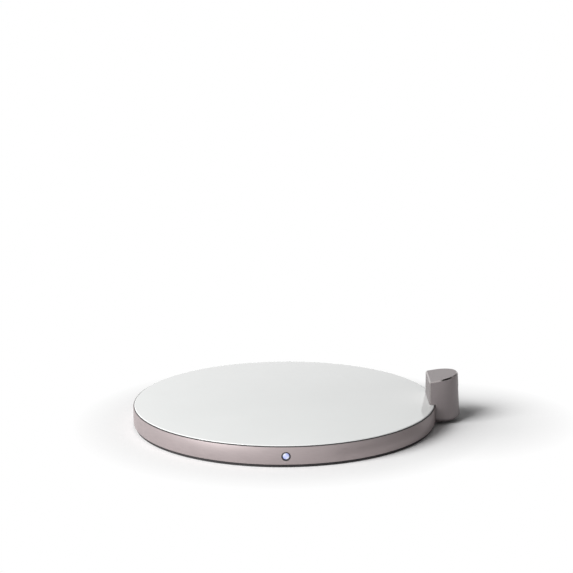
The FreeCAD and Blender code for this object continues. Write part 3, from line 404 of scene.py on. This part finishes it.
def copy_of(node):
    """A node's mesh, merged, with its flat and single-curved faces made whole again."""
    bm = bmesh.new()
    bm.from_mesh(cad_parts[node].data)
    bmesh.ops.remove_doubles(bm, verts=bm.verts, dist=2e-6)
    bmesh.ops.dissolve_limit(bm, angle_limit=math.radians(0.4), verts=bm.verts, edges=bm.edges)
    return bm


def turned_at(edge):
    """The angle between an edge's two faces, in degrees, or 0 on an open edge."""
    return math.degrees(edge.calc_face_angle(0.0)) if len(edge.link_faces) == 2 else 0.0


def ease(bm, edges, width, steps=2):
    """Round edges by a width in mm."""
    bmesh.ops.bevel(bm, geom=edges, offset=width * MM, segments=steps, profile=0.5,
                    affect="EDGES", material=-1)


def spun(outline, centre=(0, 0, 0), axis="Z", steps=192):
    """A closed outline of (radius, height) points, in mm, spun about the Z or the Y axis."""
    bm = bmesh.new()
    corners = [bm.verts.new((r * MM, 0, h * MM)) for r, h in outline]
    pairs = list(zip(corners, corners[1:]))
    if outline[0][0] > 0 and outline[-1][0] > 0:
        pairs.append((corners[-1], corners[0]))
    edges = [bm.edges.new(pair) for pair in pairs]
    bmesh.ops.spin(bm, geom=corners + edges, cent=(0, 0, 0), axis=(0, 0, 1), angle=2 * math.pi,
                   steps=steps, use_merge=True)
    bmesh.ops.remove_doubles(bm, verts=bm.verts, dist=1e-7)
    bmesh.ops.recalc_face_normals(bm, faces=bm.faces)
    if axis == "Y":
        quarter = Matrix.Rotation(math.pi / 2, 3, "X")
        bmesh.ops.rotate(bm, verts=bm.verts, cent=(0, 0, 0), matrix=quarter)
    bmesh.ops.translate(bm, verts=bm.verts, vec=[c * MM for c in centre])
    return bm


def show_ring():
    """The ring, with its two outer edges broken as a lathe leaves them."""
    bm = copy_of("rim_ring")
    low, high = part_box("rim_ring")
    chord_sag, near = 0.03 * MM, 0.01 * MM
    rims = []
    for edge in bm.edges:
        ends = [vert.co for vert in edge.verts]
        outside = all(Vector((end.x, end.y)).length > high.x - chord_sag for end in ends)
        level = any(all(abs(end.z - z) < near for end in ends) for z in (low.z, high.z))
        if outside and level and turned_at(edge) > 60:
            rims.append(edge)
    ease(bm, rims, width=0.09)
    smooth(bm, angle=34)
    show(bm, "turned_ring", "housing", ["turned"], ["rim_ring"])


def show_glass():
    """The glass plate, tapered below and bevelled round its face."""
    low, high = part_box("glass_top")
    radius, bottom, top = high.x / MM, low.z / MM, high.z / MM
    taper, bevel = 0.55, 0.2
    outline = [(0, bottom), (radius - taper, bottom), (radius - 0.02, top - taper),
               (radius, top - bevel), (radius - bevel, top), (0, top)]
    bm = spun(outline, steps=256)
    ease(bm, [edge for edge in bm.edges if turned_at(edge) > 25], width=0.05)
    smooth(bm, angle=40)
    show(bm, "warming_glass", "housing", ["glass"], ["glass_top"])


def show_gasket():
    bm = copy_of("glass_gasket")
    smooth(bm, angle=28)
    show(bm, "glass_seal", "housing", ["seal"], ["glass_gasket"])


def faces_out(face):
    """True where a face of the post looks away from the post's middle."""
    arm = face.calc_center_median() - Vector((POST_MIDDLE_X * MM, 0, 0))
    arm.z = 0
    return face.normal.dot(arm) > 0


def show_post():
    """The post, with a softened foot and inlet mouth and its cut chamfers polished."""
    bm = copy_of("post_shell")
    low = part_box("post_shell")[0]
    plain, polished, brushed = 0, 1, 2
    chamfer, level = 0.4 * MM, 0.93
    for face in bm.faces:
        centre, normal = face.calc_center_median(), face.normal
        at_top = centre.z > POST_TOP_START * MM
        upright = centre.x < low.x + chamfer and normal.x < -0.5 and abs(normal.y) > 0.5
        face.material_index = plain
        if upright or at_top and 0.25 < normal.z < level:
            face.material_index = polished
        elif at_top and normal.z > level:
            face.material_index = brushed
    foot_top, mouth_x, mouth_low, mouth_high = 2.1 * MM, 56.9 * MM, 3 * MM, 12.6 * MM
    foot, mouth = [], []
    for edge in bm.edges:
        ends = [vert.co for vert in edge.verts]
        turn = turned_at(edge)
        if 30 < turn < 60 and all(end.z < foot_top for end in ends):
            if all(faces_out(face) for face in edge.link_faces):
                foot.append(edge)
        if turn > 60 and all(end.x > mouth_x and mouth_low < end.z < mouth_high for end in ends):
            if any(face.normal.x > 0.8 for face in edge.link_faces):
                mouth.append(edge)
    ease(bm, foot, width=0.36, steps=3)
    ease(bm, [edge for edge in mouth if edge.is_valid], width=0.12)
    smooth(bm, angle=30)
    show(bm, "post_housing", "housing", ["post", "polish", "post_top"],
         ["post_shell"])


def show_foot():
    """Foot disc that stands on its outer band, with low ribs inside it."""
    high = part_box("foot_pad")[1]
    radius, top = high.x / MM + 0.45, high.z / MM
    band, rise, foot, half, slant = 43.0, 0.3, 0.12, 1.0, 0.2
    outline = [(0, top), (radius, top), (radius, 0.05), (radius - 0.05, 0), (band + slant, 0),
               (band, rise)]
    for rib in (36.0, 28.0, 20.0, 12.0):
        outline += [(rib + half + slant, rise), (rib + half, foot), (rib - half, foot),
                    (rib - half - slant, rise)]
    outline.append((0, rise))
    bm = spun(outline, steps=192)
    smooth(bm, angle=28)
    show(bm, "foot_disc", "housing", ["silicone"], ["foot_pad"])


def show_cover_screws():
    """The two screws that close the post from below, with a hexagon socket in their heads."""
    low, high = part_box("cover_screws")
    middle_x = (low.x + high.x) / 2 / MM
    foot, tip = low.z / MM, high.z / MM
    head, shank, socket, core = 0.9, 0.55, 0.44, 0.4
    seat, bevel, face, lead_in = foot + 0.5, 0.12, foot + 0.02, 0.2
    outline = [(0, tip), (core, tip)]
    thread_low = foot + 0.6
    count = 7
    pitch = (tip - lead_in - thread_low) / count
    for turn in range(count):
        crest = tip - lead_in - turn * pitch
        outline += [(core, crest), (shank, crest - pitch / 2)]
    outline += [(core, thread_low), (core, seat), (head, seat), (head, foot + bevel),
                (head - bevel, face), (socket, face), (socket, face + 0.3), (0, face + 0.34)]
    screws = bmesh.new()
    for side in (-1, 1):
        y = side * (high.y / MM - head)
        screw = spun(outline, (middle_x, y, 0), steps=36)
        axis = Vector((middle_x, y)) * MM
        for vert in screw.verts:
            arm = Vector((vert.co.x, vert.co.y)) - axis
            if abs(arm.length - socket * MM) < 0.01 * MM:
                turn = math.atan2(arm.y, arm.x) % (math.pi / 3) - math.pi / 6
                flat = axis + arm * (math.cos(math.pi / 6) / math.cos(turn))
                vert.co.x, vert.co.y = flat.x, flat.y
        mesh = bpy.data.meshes.new("cover_screw")
        screw.to_mesh(mesh)
        screw.free()
        screws.from_mesh(mesh)
        bpy.data.meshes.remove(mesh)
    smooth(screws, angle=28)
    show(screws, "post_cover_screws", "housing", ["steel"], ["cover_screws"])


def show_contacts():
    """Gold contact strips on both faces of the inlet's tongue."""
    low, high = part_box("inlet_tongue")
    count, rise, setback = 8, 0.02 * MM, 0.35 * MM
    pitch = (high.z - low.z) / (count + 1)
    bm = bmesh.new()
    for face_y in (low.y, high.y):
        for index in range(count):
            length = (3.3 if index in (0, count - 1) else 2.9) * MM
            strip = bmesh.ops.create_cube(bm, size=1.0)["verts"]
            bmesh.ops.scale(bm, verts=strip, vec=(length, 2 * rise, pitch * 0.55))
            spot = (high.x - setback - length / 2, face_y, low.z + pitch * (index + 1))
            bmesh.ops.translate(bm, verts=strip, vec=spot)
    along = [edge for edge in bm.edges if abs(edge.verts[0].co.x - edge.verts[1].co.x) > MM]
    ease(bm, along, width=0.008, steps=1)
    show(bm, "inlet_contacts", "housing", ["gold"])


def show_button():
    """The lit lens with its low dome, in a dark collar that moves with it."""
    low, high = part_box("power_button")
    centre = (0, low.y / MM, (low.z + high.z) / 2 / MM)
    lens = [(0, 0), (0.62, -0.015), (0.86, -0.06), (0.98, -0.16), (1.02, -0.3), (1.02, -0.9),
            (0, -0.9)]
    bm = spun(lens, centre, "Y", steps=64)
    smooth(bm, angle=40)
    show(bm, "button_lens", "button", ["lens"], ["power_button"])
    collar = [(1.03, -0.12), (1.08, -0.12), (1.1, -0.16), (1.1, -1.25), (1.03, -1.25)]
    bm = spun(collar, centre, "Y", steps=64)
    smooth(bm, angle=40)
    show(bm, "button_collar", "button", ["plastic"])


def show_bezel():
    bm = copy_of("button_bezel")
    smooth(bm, angle=28)
    show(bm, "button_surround", "housing", ["plastic"], ["button_bezel"])


# Stage


def seen_directly(material):
    """1 for the eye, mirrors and glass, 0 for the rays that carry light."""
    path = add_node(material, "ShaderNodeLightPath")
    rays = path.outputs
    seen = math_step(material, "MAXIMUM", rays["Is Camera Ray"], rays["Is Glossy Ray"])
    return math_step(material, "MAXIMUM", seen, rays["Is Transmission Ray"])


def stage_piece(name, bm, material):
    """A mesh of the stage, made from the given shape."""
    mesh = bpy.data.meshes.new(name)
    bm.to_mesh(mesh)
    bm.free()
    mesh.materials.append(material)
    piece = bpy.data.objects.new(name, mesh)
    bpy.context.scene.collection.objects.link(piece)
    return piece


def distance_from(material, middle):
    """The distance from a place given in mm."""
    away = add_node(material, "ShaderNodeVectorMath", operation="LENGTH")
    link(material, place(material, middle), away.inputs[0])
    return away.outputs["Value"]


def blend(material, amount, first, second):
    """A mix of two shaders as the material's surface."""
    both = add_node(material, "ShaderNodeMixShader")
    for socket, source in zip(both.inputs, (amount, first, second)):
        link(material, source, socket)
    link(material, both.outputs[0], material.node_tree.nodes["Material Output"].inputs["Surface"])


def lay_floor():
    """Pale floor that keeps the object's shadow and runs out into plain white."""
    material, shader = finish_material("pale_floor", (0.93, 0.93, 0.93), 0.0, 0.8)
    shader.inputs["Specular IOR Level"].default_value = 0.1
    clear = 1.0
    for middle, start, end in FLOOR_ROUNDS:
        away = distance_from(material, middle)
        far = spread(material, away, 0.0, 1.0, start * MM, end * MM)
        clear = math_step(material, "MULTIPLY", far, clear)
    white = add_node(material, "ShaderNodeEmission")
    amount = math_step(material, "MULTIPLY", clear, seen_directly(material))
    blend(material, amount, shader.outputs[0], white.outputs[0])
    bm = bmesh.new()
    bmesh.ops.create_grid(bm, x_segments=2, y_segments=2, size=4.0)
    floor = stage_piece("pale_floor", bm, material)


def dark_card(name, corners, fade=None):
    """A dark card out of sight, with corners in mm.

    fade is the middle and the two distances, in mm, between which the card thins out.
    """
    material, shader = finish_material(name, (0.02, 0.02, 0.02), 0.0, 0.9)
    if fade:
        middle, start, end = fade
        away = distance_from(material, middle)
        amount = spread(material, away, 1.0, 0.0, start * MM, end * MM)
        thin = add_node(material, "ShaderNodeBsdfTransparent")
        blend(material, amount, thin.outputs[0], shader.outputs[0])
    bm = bmesh.new()
    bm.faces.new([bm.verts.new([value * MM for value in corner]) for corner in corners])
    card = stage_piece(name, bm, material)
    card.visible_camera = False
    return card


def set_cards():
    """Dark cards at the right that give the metal a dark side."""
    near, far = SIDE_CARD_SPAN
    side = [(SIDE_CARD_X, y, z) for y, z in
            ((near, 0), (far, 0), (far, SIDE_CARD_TOP), (near, SIDE_CARD_TOP))]
    dark_card("side_card", side, SIDE_CARD_FADE)
    low = [(reach * math.cos(math.radians(turn)), reach * math.sin(math.radians(turn)))
           for reach, turns in (LOW_CARD_INNER, LOW_CARD_OUTER) for turn in turns]
    for name, outline, height, fade in (("low_card", low, LOW_CARD_HEIGHT, None),
                                        ("high_card", HIGH_CARD_OUTLINE, HIGH_CARD_HEIGHT,
                                         HIGH_CARD_FADE)):
        card = dark_card(name, [(x, y, height) for x, y in outline], fade)
        card.visible_shadow = False
        card.visible_diffuse = False


def hang_lamp(name, azimuth, elevation, distance, size, level):
    """A square softbox that faces the plate.

    level is the brightness that it gives a face turned to it.
    """
    around, up = math.radians(azimuth), math.radians(elevation)
    direction = Vector((math.cos(around) * math.cos(up), math.sin(around) * math.cos(up),
                        math.sin(up)))
    light = bpy.data.lights.new(name, "AREA")
    light.shape = "SQUARE"
    light.size = size
    light.energy = level * math.pi ** 2 * distance ** 2
    lamp = bpy.data.objects.new(name, light)
    lamp.location = direction * distance
    lamp.rotation_euler = direction.to_track_quat("Z", "Y").to_euler()
    bpy.context.scene.collection.objects.link(lamp)


def light_world(level):
    """White to the eye and in reflections, dim as a lamp."""
    world = bpy.data.worlds.new("white_room")
    bpy.context.scene.world = world
    world.use_nodes = True
    tree = world.node_tree
    background = tree.nodes["Background"]
    path = tree.nodes.new("ShaderNodeLightPath")
    seen = None
    for ray in ("Is Camera Ray", "Is Glossy Ray", "Is Transmission Ray"):
        if seen is None:
            seen = path.outputs[ray]
            continue
        step = tree.nodes.new("ShaderNodeMath")
        step.operation = "MAXIMUM"
        tree.links.new(seen, step.inputs[0])
        tree.links.new(path.outputs[ray], step.inputs[1])
        seen = step.outputs[0]
    amount = tree.nodes.new("ShaderNodeMapRange")
    amount.inputs["To Min"].default_value = level
    amount.inputs["To Max"].default_value = 1.0
    tree.links.new(seen, amount.inputs["Value"])
    tree.links.new(amount.outputs["Result"], background.inputs["Strength"])
    background.inputs["Color"].default_value = (1, 1, 1, 1)


def set_camera():
    """The camera that was fitted to the photograph."""
    data = bpy.data.cameras.new("camera")
    data.sensor_width = SENSOR_WIDTH
    data.lens = CAMERA_LENS
    data.clip_start = 0.01
    data.clip_end = 20.0
    camera = bpy.data.objects.new("camera", data)
    spot = Vector(CAMERA_SPOT) * MM
    target = Vector(CAMERA_TARGET) * MM
    facing = (target - spot).to_track_quat("-Z", "Y").to_matrix()
    roll = Matrix.Rotation(math.radians(CAMERA_ROLL), 3, "Z")
    camera.matrix_world = Matrix.Translation(spot) @ (facing @ roll).to_4x4()
    bpy.context.scene.collection.objects.link(camera)
    bpy.context.scene.camera = camera


for node_name, finish_name in NODE_FINISH.items():
    node_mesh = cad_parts[node_name].data
    node_mesh.materials.clear()
    node_mesh.materials.append(FINISH[finish_name])

show_ring()
show_glass()
show_gasket()
show_post()
show_foot()
show_cover_screws()
show_contacts()
show_button()
show_bezel()

lay_floor()
set_cards()
hang_lamp("key_softbox", azimuth=-143, elevation=30, distance=2.4, size=1.6, level=1.6)
light_world(level=0.15)
set_camera()

bpy.context.scene.view_settings.view_transform = "Standard"
